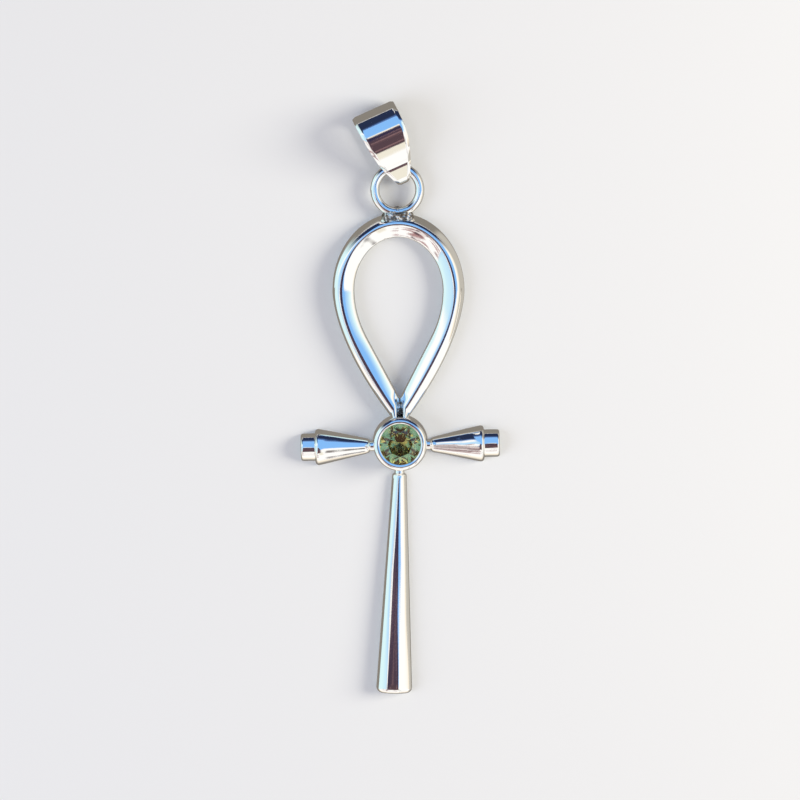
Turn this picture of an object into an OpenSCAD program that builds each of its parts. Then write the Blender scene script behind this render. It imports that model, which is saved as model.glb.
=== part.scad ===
// Ankh pendant of polished silver with one round green stone, lying on its back.
// X runs along the arms, Y from the stem up to the bail, Z away from the surface it lies on.
// The origin is the middle of the bezel on that surface. All sizes are millimetres.

/* [Stone] */
// Diameter over the girdle
stone_d = 4; // [3.6:0.1:4.4]
// Diameter of the flat table, corner to corner
stone_table_d = 2.3; // [1.8:0.1:2.6]
// Height of the crown, from girdle to table
stone_crown_h = 0.6; // [0.45:0.05:0.75]
// Thickness of the girdle
stone_girdle_h = 0.1; // [0.06:0.01:0.16]
// Depth of the pavilion, from girdle to point
stone_pavilion_h = 1.55; // [1.3:0.05:1.65]

/* [Bezel] */
// Height of the cup with its rim
bezel_h = 2.7; // [2.6:0.05:3.2]
// Thickness of the cup's closed back
bezel_floor = 0.35; // [0.25:0.05:0.45]
// How far the rim is rolled in over the girdle
bezel_lip = 0.12; // [0.06:0.01:0.16]
// Radius of the rim towards the stone
rim_in_round = 0.25; // [0.15:0.01:0.3]
// Radius of the rim towards the outside
rim_out_round = 0.37; // [0.3:0.01:0.5]
// How much wider the cup is at its foot, on the radius
bezel_draft = 0.05; // [0:0.01:0.12]
// Play around the stone
stone_gap = 0.03; // [0.02:0.01:0.06]

/* [Loop] */
// Width over the outside
loop_w = 12.16; // [10:0.02:14]
// Height of the widest place above the middle of the bezel
loop_waist_y = 14.07; // [12:0.1:16]
// Height of the outer top above the widest place
loop_rise = 7.1; // [6:0.1:8.5]
// Width of the band at its sides
band_side_w = 2; // [1.5:0.05:2.5]
// Width of the band at the top
band_top_w = 2.2; // [1.7:0.05:2.7]
// Thickness at the crown line
loop_h = 1.55; // [1.3:0.05:1.9]
// Height of the inner V above the bezel's wall
crotch_gap = 1.6; // [1.2:0.05:2.2]
// Half the width over both legs where they meet the bezel
leg_foot = 0.93; // [0.7:0.01:1.1]
// How full the outer sides are: 1 is a straight leg, 2 a parabola
loop_fullness = 1.66; // [1.4:0.02:1.9]
// Lean of the loop to the left, in degrees
loop_lean = 0.65; // [-2:0.05:2]

/* [Jump ring] */
// Diameter over the outside
ring_d = 4.96; // [4.6:0.02:5.8]
// Diameter of the wire
wire_d = 0.83; // [0.75:0.01:0.95]
// How far the ring is let into the top of the loop
ring_sink = 0.3; // [0.15:0.05:0.5]
// Width of the solder lump
solder_w = 2.9; // [2.4:0.1:3.3]

/* [Bail] */
// Width of the strip at the fold
bail_w = 4.12; // [3.4:0.1:4.8]
// Length from the tip to the fold
bail_len = 7.4; // [6.2:0.1:8.2]
// Depth from the back leaf to the highest place of the front leaf
bail_depth = 3.75; // [3.4:0.05:4.2]
// Thickness of the strip
bail_t = 0.4; // [0.3:0.02:0.45]
// Play around the wire where the tip wraps it
bail_play = 0.16; // [0.1:0.01:0.2]
// Height of the crease in the front leaf, in the middle of the strip
crease_z = 2.15; // [2.05:0.01:2.4]
// Distance of the crease from the tip
crease_s = 1.82; // [1.6:0.02:2.1]
// Bevel along the strip's outer edges
bail_bevel = 0.28; // [0.15:0.01:0.35]
// Distance from the tip to the wire's middle
wire_seat = 1.6; // [1.4:0.01:1.9]
// How far the bail's middle line passes beside the ring's middle
bail_across = 0.9; // [0.5:0.02:1.1]
// Lean of the bail to the left of the loop, in degrees
bail_lean = 23.6; // [10:0.2:30]

/* [Arms] */
// Span over both end drums
arm_span = 18.4; // [16:0.1:21]
// Diameter of an arm beside its drum
arm_wide_d = 3.35; // [2.9:0.05:3.8]
// Diameter of an arm beside its neck
arm_narrow_d = 1.3; // [1.1:0.05:1.6]
// Diameter of the end drum
drum_d = 2.54; // [2:0.02:2.8]
// Length of the end drum
drum_len = 1.34; // [0.8:0.02:2]
// Rounding of the shoulder
shoulder_round = 0.32; // [0.15:0.01:0.34]
// Rounding of the drum's end
drum_round = 0.28; // [0.1:0.01:0.35]
// Diameter of the neck between bezel and arm
arm_neck_d = 0.95; // [0.8:0.05:1.1]
// Length of that neck
arm_neck_len = 0.36; // [0.25:0.01:0.5]
// How far the arms sit below the middle of the bezel
arm_drop = 0.32; // [-0.4:0.01:0.4]
// Lean of the arms, right end up, in degrees
arm_lean = 1.3; // [-2:0.1:2]

/* [Stem] */
// Length from its top shoulder to its end
stem_len = 20.5; // [16:0.1:26]
// Width at the top shoulder
stem_top_w = 1.32; // [1.1:0.02:1.8]
// Width near the end
stem_end_w = 3.36; // [2.6:0.02:4]
// Thickness at the top shoulder
stem_top_h = 0.72; // [0.6:0.02:1.1]
// Thickness near the end
stem_end_h = 1.5; // [1.2:0.05:1.9]
// Rounding of the stem's end
stem_round = 0.55; // [0.3:0.01:0.7]
// Diameter of the neck between bezel and stem
stem_neck_d = 0.92; // [0.8:0.02:1.1]
// Length of that neck
stem_neck_len = 0.42; // [0.3:0.01:0.6]
// Lean of the stem to the left, in degrees
stem_lean = 1.4; // [-2:0.05:2]

/* [Hidden] */

SILVER = "#c9ced6";
GREEN = "#6f8f2c";
BIG = 60;

// How deep the legs, arms and stem are let into the bezel's wall
root_depth = 0.3;

// Bezel, worked out from the stone that it holds
stone_r = stone_d / 2;
// Free height between the stone's point and the closed back
point_room = 0.13;
// Flat round the stone's point, and the slope that the pavilion rests on: width and height under the girdle
point_r = 0.3;
seat_w = 0.25;
seat_h = 0.45;
// Radius of the stars' outer corners between table and girdle, and of the mains' lower ones, as shares
STAR_SHARE = 0.46;
MAIN_SHARE = 0.3;
girdle_z = bezel_floor + point_room + stone_pavilion_h;
rim_in_r = stone_r - bezel_lip;
rim_crest_r = rim_in_r + rim_in_round;
bezel_r = rim_crest_r + rim_out_round;
cup_r = stone_r + stone_gap;

// Loop
loop_top_y = loop_waist_y + loop_rise;
// Where the outer edges of the legs meet the bezel: just outside its wall
foot_stand_off = 0.2;
foot_y = sqrt(pow(bezel_r + foot_stand_off, 2) - pow(leg_foot, 2));
crotch_y = bezel_r + crotch_gap;
// Slit between the two legs below the V, and the solder that fills it: half its width, its height
// and how far it reaches past the V
seam_w = 0.06;
cover_half_w = 0.22;
cover_h = 0.62;
cover_past = 0.12;
// Half the width over both legs inside the bezel's wall, as a share of the half at the foot
FOOT_TAPER = 0.8;
// Share of the inner leg's height that is curved before it runs straight to the V
INNER_BEND = 0.45;

// Ring and bail: the tip of the bail is wrapped round the wire and rests on the surface
tip_r = wire_d / 2 + bail_play + bail_t;
ring_z = tip_r;
ring_mid_r = (ring_d - wire_d) / 2;
ring_y = loop_top_y - ring_sink + ring_d / 2;
// Radius of the solder under the ring, its depth below the loop's top, its height off the surface,
// how far it stays under the wire's middle and its width at the wire as a share
lump_r = 0.45;
lump_depth = 0.35;
lump_lift = 0.25;
lump_under = 0.1;
LUMP_TAPER = 0.8;
// Share of the bail's length at which its front leaf is highest
BAIL_APEX = 0.703;

// Half the length over which an arm's neck widens, and the rounding at the stem's top
neck_blend = 0.12;
stem_shoulder = 0.24;

// Section of the loop's band.
// Columns: distance from the outer edge as a share of the band, height as a share of the thickness
BAND = [
    [0, 0], [0, 0.45], [0.03, 0.66], [0.1, 0.84], [0.22, 0.96], [0.4, 1],
    [0.52, 0.98], [0.9, 0.74], [0.97, 0.68], [1, 0.58], [1, 0]
];

// Section of the stem. Columns: place as a share of half the width, height as a share of the thickness
STEM_HALF = [[0, 1], [0.26, 0.97], [0.5, 0.88], [0.72, 0.73], [0.89, 0.52], [1, 0.28], [1, 0]];

// Outline of the bail's strip. Columns: distance from the tip as a share of the length,
// half width as a share of the half at the fold, shift to the right as a share of that half
BAIL_OUTLINE = [
    [0, 0.25, -0.04], [0.06, 0.33, -0.03], [0.12, 0.45, -0.01], [0.225, 0.62, 0.01], [0.34, 0.76, 0.03],
    [0.5, 0.9, 0.07], [0.65, 0.965, 0.08], [0.85, 1, 0.04], [1, 1, 0]
];

// A point part of the way from a to b
function between(a, b, share) = a + (b - a) * share;

// Points of an arc about a centre, from one angle to another
function arc(centre, rx, ry, from, to, steps) =
    [for (i = [0:steps]) let (a = between(from, to, i / steps)) centre + [rx * cos(a), ry * sin(a)]];

// Solid through a row of rings with the same number of points. A chain of rings is capped at its
// ends, and one that is closed joins its last ring to its first
module skin(rings, closed = false) {
    count = len(rings);
    size = len(rings[0]);
    last = closed ? count : count - 1;
    sides = [
        for (i = [0:last - 1], j = [0:size - 1])
            let (k = (i + 1) % count, n = (j + 1) % size)
            [i * size + j, i * size + n, k * size + n, k * size + j]
    ];
    halves = [for (f = sides, h = [[0, 1, 2], [0, 2, 3]]) [f[h[0]], f[h[1]], f[h[2]]]];
    caps = closed ? [] : [
        [for (j = [size - 1:-1:0]) j],
        [for (j = [0:size - 1]) (count - 1) * size + j]
    ];
    polyhedron(points = [for (r = rings, p = r) p], faces = concat(halves, caps), convexity = 6);
}

// Share of the way in that the inner leg has come at share q of its height:
// a parabola down to INNER_BEND, then its tangent
function inner_bend(q) =
    let (k = 1 / (2 * INNER_BEND - pow(INNER_BEND, 2)))
    q < INNER_BEND ? k * pow(q, 2) : k * INNER_BEND * (2 * q - INNER_BEND);

// Outer and inner edge of the right half of the band, above and below the widest place
function upper_pair(a) =
    let (inner_w = loop_w / 2 - band_side_w)
    [
        [loop_w / 2 * sin(a), loop_waist_y + loop_rise * cos(a)],
        [inner_w * sin(a), loop_waist_y + (loop_rise - band_top_w) * cos(a)]
    ];
function leg_pair(q) =
    let (inner_w = loop_w / 2 - band_side_w)
    [
        [
            between(loop_w / 2, leg_foot, pow(q, loop_fullness)),
            between(loop_waist_y, foot_y, q)
        ],
        [between(inner_w, seam_w / 2, inner_bend(q)), between(loop_waist_y, crotch_y, q)]
    ];

// The loop's band in one run: right foot in the bezel's wall, leg, arch, leg and left foot
module loop() {
    arch_steps = 12;
    leg_steps = 12;
    foot = [[leg_foot * FOOT_TAPER, bezel_r - root_depth], [seam_w / 2, bezel_r - foot_stand_off]];
    right = concat(
        [foot],
        [for (i = [leg_steps:-1:1]) leg_pair(i / leg_steps)],
        [for (i = [arch_steps:-1:1]) upper_pair(90 * i / arch_steps)]
    );
    left = [for (i = [len(right) - 1:-1:0]) [for (e = right[i]) [-e[0], e[1]]]];
    skin([
        for (p = concat(right, [upper_pair(0)], left)) [
            for (s = BAND) let (at = between(p[0], p[1], s[0])) [at[0], at[1], s[1] * loop_h]
        ]
    ]);
}

module jump_ring() {
    translate([0, ring_y, ring_z])
        rotate_extrude($fn = 64) translate([ring_mid_r, 0]) circle(d = wire_d, $fn = 32);
}

// Lump that fills the wedge between ring and loop, and the small one in the V
module solder() {
    half = solder_w / 2 - lump_r;
    hull() {
        for (side = [-1, 1]) {
            translate([side * half, loop_top_y - lump_depth, lump_r + lump_lift])
                sphere(r = lump_r, $fn = 20);
            translate([side * half * LUMP_TAPER, ring_y - ring_mid_r, ring_z - lump_under])
                sphere(r = lump_r, $fn = 20);
        }
    }
    translate([-cover_half_w, bezel_r - root_depth, 0])
        cube([2 * cover_half_w, root_depth + crotch_gap + cover_past, cover_h]);
}

// Cup with its rolled rim, solid inside until the hollow is taken out
module bezel_body() {
    rotate_extrude($fn = 96)
        polygon(concat(
            [[0, 0], [bezel_r + bezel_draft, 0]],
            arc([rim_crest_r, bezel_h - rim_out_round], rim_out_round, rim_out_round, 0, 90, 6),
            [[rim_crest_r, bezel_h - rim_in_round], [0, bezel_h - rim_in_round]]
        ));
    translate([0, 0, bezel_h - rim_in_round])
        rotate_extrude($fn = 96)
            polygon(concat([[rim_crest_r, 0]], arc([rim_crest_r, 0], rim_in_round, rim_in_round, 90, 180, 4)));
}

// Room for the stone: a bore up to the girdle, the lip above it and a cone down to the floor
module bezel_hollow() {
    crown_top = girdle_z + stone_girdle_h + stone_gap;
    rotate_extrude($fn = 96)
        polygon([
            [0, bezel_floor],
            [point_r, bezel_floor],
            [cup_r - seat_w, girdle_z - seat_h],
            [cup_r, girdle_z - stone_gap],
            [cup_r, crown_top],
            [rim_in_r, crown_top + bezel_lip],
            [rim_in_r, BIG],
            [0, BIG]
        ]);
}

// One arm along +X, a turned shape whose lower half is cut away
module arm() {
    root_x = bezel_r - root_depth;
    cone_x = bezel_r + arm_neck_len;
    end_x = arm_span / 2;
    drum_x = end_x - drum_len;
    turned = concat(
        [
            [0, root_x], [arm_neck_d / 2, root_x],
            [arm_neck_d / 2, cone_x - neck_blend], [arm_narrow_d / 2, cone_x + neck_blend]
        ],
        arc([arm_wide_d / 2 - shoulder_round, drum_x - shoulder_round], shoulder_round,
            shoulder_round, 10, 90, 5),
        [[drum_d / 2, drum_x]],
        arc([drum_d / 2 - drum_round, end_x - drum_round], drum_round, drum_round, 0, 90, 4),
        [[0, end_x]]
    );
    intersection() {
        rotate([0, 90, 0]) rotate_extrude($fn = 64) polygon(turned);
        translate([0, -BIG / 2, 0]) cube([BIG, BIG, BIG]);
    }
}

module arms() {
    translate([0, -arm_drop, 0]) rotate([0, 0, arm_lean]) {
        arm();
        mirror([1, 0, 0]) arm();
    }
}

// A ring of the stem: its section at distance d below the shoulder, drawn in on each side and at the top
function stem_ring(d, inset) =
    let (
        share = d / stem_len,
        half = between(stem_top_w, stem_end_w, share) / 2 - inset,
        high = between(stem_top_h, stem_end_h, share) - inset,
        right = [for (p = STEM_HALF) [p[0] * half, p[1] * high]],
        left = [for (i = [len(right) - 1:-1:1]) [-right[i][0], right[i][1]]]
    )
    [for (p = concat(left, right)) [p[0], -d, p[1]]];

// Stem down -Y on its neck, with a round shoulder at the top and a round end
module stem() {
    top_y = bezel_r + stem_neck_len;
    steps = 4;
    rings = concat(
        [for (i = [0:steps - 1]) let (a = 90 * i / steps)
            stem_ring(stem_shoulder * (1 - cos(a)), stem_shoulder * (1 - sin(a)))],
        [for (share = [0.06:0.16:0.9]) stem_ring(share * stem_len, 0)],
        [for (i = [0:steps]) let (a = 90 * i / steps)
            stem_ring(stem_len - stem_round * (1 - sin(a)), stem_round * (1 - cos(a)))]
    );
    rotate([0, 0, -stem_lean]) {
        translate([0, -top_y, 0]) skin(rings);
        intersection() {
            translate([0, root_depth - bezel_r, 0])
                rotate([90, 0, 0])
                    cylinder(d = stem_neck_d, h = root_depth + stem_neck_len + stem_shoulder, $fn = 32);
            translate([-BIG / 2, -BIG, 0]) cube([BIG, BIG, BIG]);
        }
    }
}

// Everything that is soldered together, with the stone's room cut last
module ankh_frame() {
    color(SILVER)
        difference() {
            union() {
                rotate([0, 0, loop_lean]) {
                    loop();
                    jump_ring();
                    solder();
                }
                bezel_body();
                arms();
                stem();
            }
            bezel_hollow();
        }
}

// Round brilliant: table, stars, kites and girdle facets above, mains and lower halves below.
// A kite's side corners lie in its plane, which runs through its table corner and its girdle corner
module stone() {
    table_r = stone_table_d / 2;
    table_z = girdle_z + stone_girdle_h + stone_crown_h;
    top_z = girdle_z + stone_girdle_h;
    tip_z = girdle_z - stone_pavilion_h;
    star_r = between(table_r, stone_r, STAR_SHARE);
    star_z = between(table_z, top_z, (star_r * cos(22.5) - table_r) / (stone_r - table_r));
    low_r = stone_r * MAIN_SHARE;
    low_z = between(tip_z, girdle_z, low_r * cos(22.5) / stone_r);
    points = concat(
        [for (i = [0:7]) [table_r * cos(45 * i), table_r * sin(45 * i), table_z]],
        [for (i = [0:7]) [star_r * cos(45 * i + 22.5), star_r * sin(45 * i + 22.5), star_z]],
        [for (i = [0:15]) [stone_r * cos(22.5 * i), stone_r * sin(22.5 * i), top_z]],
        [for (i = [0:15]) [stone_r * cos(22.5 * i), stone_r * sin(22.5 * i), girdle_z]],
        [for (i = [0:7]) [low_r * cos(45 * i + 22.5), low_r * sin(45 * i + 22.5), low_z]],
        [[0, 0, tip_z]]
    );
    star = 8;
    upper = 16;
    lower = 32;
    half = 48;
    culet = 56;
    faces = concat(
        [[for (i = [7:-1:0]) i]],
        [for (i = [0:7]) [i, (i + 1) % 8, star + i]],
        [for (i = [0:7]) [i, star + i, upper + 2 * i, star + (i + 7) % 8]],
        [for (i = [0:7]) [star + i, upper + (2 * i + 1) % 16, upper + 2 * i]],
        [for (i = [0:7]) [star + i, upper + (2 * i + 2) % 16, upper + (2 * i + 1) % 16]],
        [for (i = [0:15]) [upper + i, upper + (i + 1) % 16, lower + (i + 1) % 16, lower + i]],
        [for (i = [0:7]) [half + i, lower + 2 * i, lower + (2 * i + 1) % 16]],
        [for (i = [0:7]) [half + i, lower + (2 * i + 1) % 16, lower + (2 * i + 2) % 16]],
        [for (i = [0:7]) [culet, half + (i + 7) % 8, lower + 2 * i, half + i]]
    );
    color(GREEN) polyhedron(points = points, faces = faces, convexity = 2);
}

// Middle line of the bail's strip, seen from the side, as distance from the tip and height:
// back leaf, fold, front leaf on one arc down to the crease, then straight onto the round tip
function bail_line() =
    let (
        r = tip_r - bail_t / 2,
        apex = [BAIL_APEX * bail_len, bail_depth - bail_t / 2],
        fold = [bail_len - bail_t / 2 - apex[0], (apex[1] - bail_t / 2) / 2],
        crease = [crease_s, crease_z],
        run = apex[0] - crease[0],
        drop = apex[1] - crease[1],
        leaf_r = (pow(run, 2) + pow(drop, 2)) / (2 * drop),
        leaf_end = asin(run / leaf_r),
        to_crease = crease - [tip_r, tip_r],
        touch = atan2(to_crease[1], to_crease[0]) + acos(r / norm(to_crease))
    )
    concat(
        [for (i = [1:3]) [between(tip_r, apex[0], i / 4), bail_t / 2]],
        arc([apex[0], bail_t / 2 + fold[1]], fold[0], fold[1], -90, 90, 14),
        [for (i = [1:8]) let (a = leaf_end * i / 8) apex + [-leaf_r * sin(a), -leaf_r * (1 - cos(a))]],
        arc([tip_r, tip_r], r, r, touch, 270, 9)
    );

// A column of the outline's table at a share of the length
function outline_at(share, column) = lookup(share, [for (row = BAIL_OUTLINE) [row[0], row[column]]]);

// The strip's section at each point of that line: the way across is X, its outer edges are bevelled
module bail_strip() {
    line = bail_line();
    count = len(line);
    rings = [
        for (i = [0:count - 1])
            let (
                here = line[i],
                ahead = line[(i + 1) % count] - line[(i + count - 1) % count],
                out = [ahead[1], -ahead[0]] / norm(ahead),
                half = bail_w / 2 * outline_at(here[0] / bail_len, 1),
                shift = bail_w / 2 * outline_at(here[0] / bail_len, 2),
                bevel = min(bail_bevel, half / 2),
                t = bail_t / 2,
                edge = [
                    [-half, -t], [half, -t], [half, t - bevel * 0.5], [half - bevel, t],
                    [bevel - half, t], [-half, t - bevel * 0.5]
                ]
            )
            [for (e = edge) let (p = here + e[1] * out) [e[0] + shift, p[0], p[1]]]
    ];
    skin(rings, closed = true);
}

// The bail's tip hooks the ring's wire. Its lean turns it about the ring's middle
module bail() {
    along = sqrt(pow(ring_mid_r, 2) - pow(bail_across, 2)) - wire_seat;
    color(SILVER)
        rotate([0, 0, loop_lean])
            translate([0, ring_y, 0])
                rotate([0, 0, bail_lean])
                    translate([bail_across, along, 0])
                        bail_strip();
}

ankh_frame();
stone();
bail();
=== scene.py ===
import math

import bpy
import numpy as np
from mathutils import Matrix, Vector


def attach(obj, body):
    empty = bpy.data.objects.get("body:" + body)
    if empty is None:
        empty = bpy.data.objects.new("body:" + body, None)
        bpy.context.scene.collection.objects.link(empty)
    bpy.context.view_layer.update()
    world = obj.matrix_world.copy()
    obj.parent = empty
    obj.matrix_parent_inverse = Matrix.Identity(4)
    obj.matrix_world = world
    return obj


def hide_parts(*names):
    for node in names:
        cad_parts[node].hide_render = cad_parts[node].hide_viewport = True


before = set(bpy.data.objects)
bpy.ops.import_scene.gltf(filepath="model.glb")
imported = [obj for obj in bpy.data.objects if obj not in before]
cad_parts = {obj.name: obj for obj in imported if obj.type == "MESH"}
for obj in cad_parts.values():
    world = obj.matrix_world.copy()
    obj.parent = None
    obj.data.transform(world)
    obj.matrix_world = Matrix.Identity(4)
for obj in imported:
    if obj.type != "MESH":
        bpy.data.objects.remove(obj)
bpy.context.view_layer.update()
print("frame loaded")

# All piece sizes below are millimetres in the frame of the CAD part: X along the arms, Y up to the
# bail, Z off the surface it lies on. This turns them into metres.
mm = 0.001


# Numbers and curves
def between(a, b, share):
    # a at share 0, b at share 1
    return a + (b - a) * share


def smoothStep(low, high, value):
    # 0 below low, 1 above high, and an even S curve between them: 3 t squared less 2 t cubed
    t = np.clip((np.asarray(value, float) - low) / (high - low), 0, 1)
    return t * t * (3 - 2 * t)


def smoothLine(controls, count):
    # Uniform cubic B-spline. Each point is a weighted mean of four controls in a row, which
    # keeps the curve's bend even, so reflections run over it without a kink.
    c = np.asarray(controls, float)
    n = len(c)
    c = np.vstack([2 * c[0] - c[1], c, 2 * c[-1] - c[-2]])
    t = np.linspace(0, n - 1, count)
    i = np.minimum(np.floor(t).astype(int), n - 2)
    f = (t - i)[:, None]
    weights = [(1 - f) ** 3, 3 * f ** 3 - 6 * f ** 2 + 4, -3 * f ** 3 + 3 * f ** 2 + 3 * f + 1, f ** 3]
    return sum(w * c[i + k] for k, w in enumerate(weights)) / 6


def turned(points, degrees):
    # Points turned about Z, anticlockwise seen from the front: x cos a - y sin a, x sin a + y cos a
    a = math.radians(degrees)
    x = points[..., 0] * math.cos(a) - points[..., 1] * math.sin(a)
    y = points[..., 0] * math.sin(a) + points[..., 1] * math.cos(a)
    return np.stack([x, y, points[..., 2]], -1)


def ripple(points, seed, wavelength, waves=7):
    # Soft noise from about -1 to 1: a few plane waves in random directions, added up
    rng = np.random.default_rng(seed)
    total = np.zeros(points.shape[:-1])
    for _ in range(waves):
        way = rng.normal(size=points.shape[-1])
        way *= 2 * math.pi / wavelength * rng.uniform(0.6, 1.6) / np.linalg.norm(way)
        total += np.sin(points @ way + rng.uniform(0, 2 * math.pi))
    return total / math.sqrt(waves) / 1.4


# Meshes
def outward(points, faces):
    # Turns all faces round if the volume that they enclose comes out negative. That volume is the
    # sum, over every face cut into a fan of triangles, of the three corners' triple product.
    volume = 0
    for size in {len(face) for face in faces}:
        corners = points[np.array([face for face in faces if len(face) == size])]
        volume += np.sum(corners[:, :1] * np.cross(corners[:, 1:-1], corners[:, 2:]))
    return [face[::-1] for face in faces] if volume < 0 else faces


def skin(rings, ringsClosed=False):
    # Surface over a grid of points, rings by points: a quad between each two neighbours on two
    # rings. Each ring is closed on itself, and open ends are closed onto the end ring's mean point.
    count, size = rings.shape[:2]
    i, j = np.meshgrid(np.arange(count if ringsClosed else count - 1), np.arange(size), indexing="ij")
    k, n = (i + 1) % count, (j + 1) % size
    faces = np.stack([i * size + j, i * size + n, k * size + n, k * size + j], -1).reshape(-1, 4).tolist()
    points = rings.reshape(-1, 3)
    if not ringsClosed:
        j = np.arange(size)
        n = (j + 1) % size
        last = (count - 1) * size
        points = np.vstack([points, rings[0].mean(0), rings[-1].mean(0)])
        faces += np.column_stack([np.full(size, count * size), n, j]).tolist()
        faces += np.column_stack([np.full(size, count * size + 1), last + j, last + n]).tolist()
    return points, outward(points, faces)


def joined(parts):
    # One mesh from several (points, faces), each one's face numbers raised by the points before it
    starts = np.cumsum([0] + [len(points) for points, _ in parts]).tolist()
    faces = [[i + start for i in face] for (_, own), start in zip(parts, starts) for face in own]
    return np.vstack([points for points, _ in parts]), faces


def makePiece(name, points, faces, material, slot, nodes=(), sharpAngle=40):
    # One piece of the pendant from millimetre points. Edges sharper than the angle stay crisp, and
    # an angle of 0 keeps every facet flat.
    mesh = bpy.data.meshes.new(name)
    mesh.from_pydata((points * mm).tolist(), [], faces)
    mesh.polygons.foreach_set("use_smooth", [sharpAngle > 0] * len(mesh.polygons))
    mesh.materials.append(material)
    mesh.update()
    if sharpAngle > 0:
        mesh.set_sharp_from_angle(angle=math.radians(sharpAngle))
    obj = bpy.data.objects.new(name, mesh)
    bpy.context.scene.collection.objects.link(obj)
    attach(obj, "root")
    if nodes:
        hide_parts(*nodes)


# Materials
def linearColour(hexColour):
    # sRGB hex to linear: under 0.04045 divide by 12.92, above it raise to the power 2.4
    parts = [int(hexColour[i:i + 2], 16) / 255 for i in (1, 3, 5)]
    return tuple(c / 12.92 if c <= 0.04045 else ((c + 0.055) / 1.055) ** 2.4 for c in parts) + (1.0,)


def addNode(tree, kind, settings=None, links=None):
    # A shader node with its inputs and properties set, and its inputs fed from other sockets
    node = tree.nodes.new(kind)
    for key, value in (settings or {}).items():
        if key in node.inputs:
            node.inputs[key].default_value = value
        else:
            setattr(node, key, value)
    for key, socket in (links or {}).items():
        tree.links.new(socket, node.inputs[key])
    return node


def newMaterial(name):
    material = bpy.data.materials.new(name)
    material.use_nodes = True
    material.node_tree.nodes.clear()
    return material, material.node_tree


silverLook = {
    "metal": "#FAF8F4",      # clean polished silver
    "roughness": 0.045,
    "haze": 0.05,            # extra roughness where fine scratches gather
    "hazeFrom": 0.5, "hazeTo": 0.75,    # where in the noise they do
    "hazePerMm": 0.9,
    "waviness": 0.0035,      # height of the hand polish's soft waves, mm
    "wavesPerMm": 0.5,
    "scratch": 0.0011,       # height of the fine scratches, mm
    "scratchesPerMm": 9,     # coarser than real ones, which would be too fine to show
}


def polishedSilver():
    # Sterling silver, hand polished: a mirror whose soft waves make the reflected bands uneven,
    # and fine scratches that haze it a little
    s = silverLook
    material, tree = newMaterial("handPolishedSilver")
    place = addNode(tree, "ShaderNodeTexCoord").outputs["Object"]
    waves = addNode(tree, "ShaderNodeTexNoise",
                    {"Scale": s["wavesPerMm"] / mm, "Detail": 2.0, "Roughness": 0.4}, {"Vector": place})
    softBump = addNode(tree, "ShaderNodeBump", {"Strength": 1.0, "Distance": s["waviness"] * mm},
                       {"Height": waves.outputs["Fac"]})
    scratches = addNode(tree, "ShaderNodeTexNoise",
                        {"Scale": s["scratchesPerMm"] / mm, "Detail": 4.0, "Roughness": 0.6,
                         "Distortion": 0.4}, {"Vector": place})
    fineBump = addNode(tree, "ShaderNodeBump", {"Strength": 1.0, "Distance": s["scratch"] * mm},
                       {"Height": scratches.outputs["Fac"], "Normal": softBump.outputs["Normal"]})
    haze = addNode(tree, "ShaderNodeTexNoise",
                   {"Scale": s["hazePerMm"] / mm, "Detail": 3.0, "Roughness": 0.55}, {"Vector": place})
    rough = addNode(tree, "ShaderNodeMapRange",
                    {"From Min": s["hazeFrom"], "From Max": s["hazeTo"],
                     "interpolation_type": "SMOOTHSTEP",
                     "To Min": s["roughness"], "To Max": s["roughness"] + s["haze"]},
                    {"Value": haze.outputs["Fac"]})
    surface = addNode(tree, "ShaderNodeBsdfPrincipled",
                      {"Base Color": linearColour(s["metal"]), "Metallic": 1.0},
                      {"Roughness": rough.outputs["Result"], "Normal": fineBump.outputs["Normal"]})
    addNode(tree, "ShaderNodeOutputMaterial", links={"Surface": surface.outputs["BSDF"]})
    return material


solderLook = {
    "dark": "#857A70",       # oxidised skin
    "light": "#FBF7F0",      # bright grains in it
    "grainFrom": 0.46, "grainTo": 0.62,    # where in the noise dark turns to bright
    "grainsPerMm": 3.2,
    "roughDark": 0.45,
    "roughLight": 0.15,
    "pitsPerMm": 5,
    "pit": 0.07,             # depth of the pits, mm
}


def oxidisedSolder():
    # Silver solder as the torch left it: dark pitted metal with bright grains
    s = solderLook
    material, tree = newMaterial("oxidisedSolder")
    place = addNode(tree, "ShaderNodeTexCoord").outputs["Object"]
    grains = addNode(tree, "ShaderNodeTexNoise",
                     {"Scale": s["grainsPerMm"] / mm, "Detail": 5.0, "Roughness": 0.55}, {"Vector": place})
    bright = addNode(tree, "ShaderNodeMapRange",
                     {"From Min": s["grainFrom"], "From Max": s["grainTo"],
                      "interpolation_type": "SMOOTHSTEP"},
                     {"Value": grains.outputs["Fac"]}).outputs["Result"]
    colour = addNode(tree, "ShaderNodeMix", {"data_type": "RGBA"})
    colour.inputs[6].default_value = linearColour(s["dark"])
    colour.inputs[7].default_value = linearColour(s["light"])
    tree.links.new(bright, colour.inputs[0])
    rough = addNode(tree, "ShaderNodeMapRange", {"To Min": s["roughDark"], "To Max": s["roughLight"]},
                    {"Value": bright})
    pits = addNode(tree, "ShaderNodeTexNoise", {"Scale": s["pitsPerMm"] / mm, "Detail": 4.0},
                   {"Vector": place})
    bump = addNode(tree, "ShaderNodeBump", {"Strength": 1.0, "Distance": s["pit"] * mm},
                   {"Height": pits.outputs["Fac"]})
    surface = addNode(tree, "ShaderNodeBsdfPrincipled", {"Metallic": 1.0},
                      {"Base Color": colour.outputs[2], "Roughness": rough.outputs["Result"],
                       "Normal": bump.outputs["Normal"]})
    addNode(tree, "ShaderNodeOutputMaterial", links={"Surface": surface.outputs["BSDF"]})
    return material


gemLook = {
    "rim": "#F2E88C",        # light tint towards the stone's edge, where the painted shade has faded out
    "middle": "#36360E",     # painted shade: darkest tint, over the stone's deep middle, which returns the least light
    "shadedMiddleR": 1.9,          # how far the middle's painted shade reaches, mm
    "ior": 1.66,             # peridot
    "roughness": 0.06,       # worn facets, which soften what they show
}


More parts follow.
